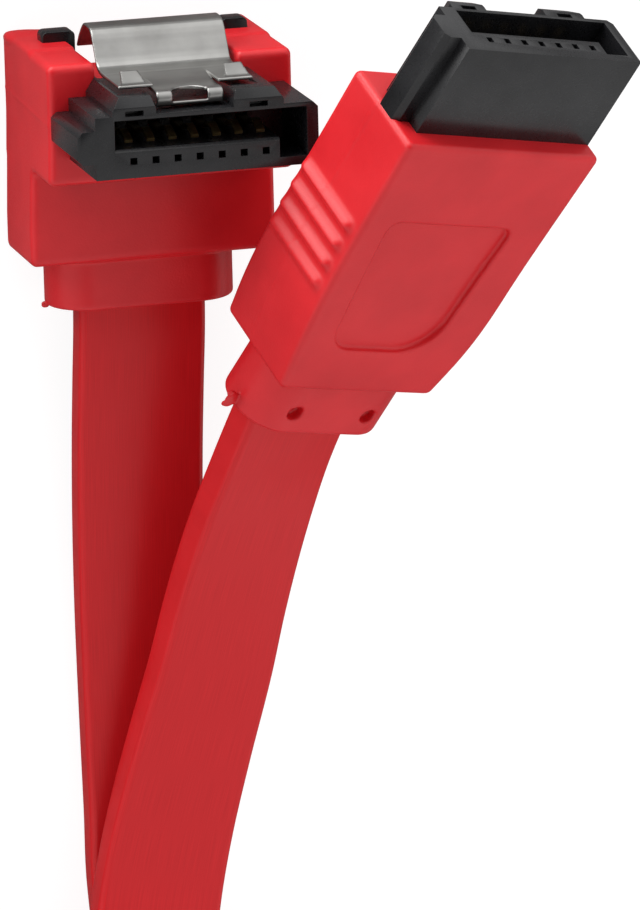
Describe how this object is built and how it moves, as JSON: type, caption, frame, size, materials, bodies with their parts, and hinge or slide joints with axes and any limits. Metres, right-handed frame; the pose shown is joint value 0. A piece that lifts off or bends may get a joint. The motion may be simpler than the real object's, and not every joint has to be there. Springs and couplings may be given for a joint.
{
  "type": "sata data cable",
  "caption": "Flat red disk data cable with a latching right-angle connector and a plain straight connector, laid on a table with its spare length coiled and tied.",
  "frame": {"origin": "on the flat back of the right-angle connector, which lies on the table, behind the middle contact", "axes": "+X along the right-angle connector's row of contacts, +Y towards its latch, +Z out of its mouth, up from the table"},
  "size_m": [0.0632, 0.1474, 0.0274],
  "materials": {
    "overmould_red": "soft moulded plastic with a fine satin spark texture",
    "jacket_red": "smooth extruded jacket, satin gloss",
    "housing_black": "black glass-filled plastic, satin",
    "latch_steel": "bright rolled stainless spring steel",
    "contact_gold": "gold plated",
    "core_insulation": "foamed insulation",
    "drain_wire": "bare copper",
    "tie_black": "plain flat tie"
  },
  "bodies": {
    "cable_set": {"angled_contact_1": "contact_gold", "angled_contact_2": "contact_gold", "angled_contact_3": "contact_gold", "angled_contact_4": "contact_gold", "angled_contact_5": "contact_gold", "angled_contact_6": "contact_gold", "angled_contact_7": "contact_gold", "angled_core_1": "core_insulation", "angled_core_2": "core_insulation", "angled_core_3": "core_insulation", "angled_core_4": "core_insulation", "angled_drain_1": "drain_wire", "angled_drain_2": "drain_wire", "angled_drain_3": "drain_wire", "angled_housing": "housing_black", "angled_inner_mould": "housing_black", "angled_overmould": "overmould_red", "cable_coil": "jacket_red", "cable_from_angled": "jacket_red", "cable_from_straight": "jacket_red", "cable_tie": "tie_black", "straight_contact_1": "contact_gold", "straight_contact_2": "contact_gold", "straight_contact_3": "contact_gold", "straight_contact_4": "contact_gold", "straight_contact_5": "contact_gold", "straight_contact_6": "contact_gold", "straight_contact_7": "contact_gold", "straight_core_1": "core_insulation", "straight_core_2": "core_insulation", "straight_core_3": "core_insulation", "straight_core_4": "core_insulation", "straight_drain_1": "drain_wire", "straight_drain_2": "drain_wire", "straight_drain_3": "drain_wire", "straight_housing": "housing_black", "straight_inner_mould": "housing_black", "straight_overmould": "overmould_red"},
    "latch": {"angled_latch_spring": "latch_steel"}
  },
  "joints": [
    {"name": "latch_press", "type": "hinge", "parent": "cable_set", "child": "latch", "pos_m": [0, 0.00316, 0.01535], "axis": [-1, 0, 0], "range_deg": [0, 4], "stiffness_Nm_per_rad": 0.05}
  ]
}
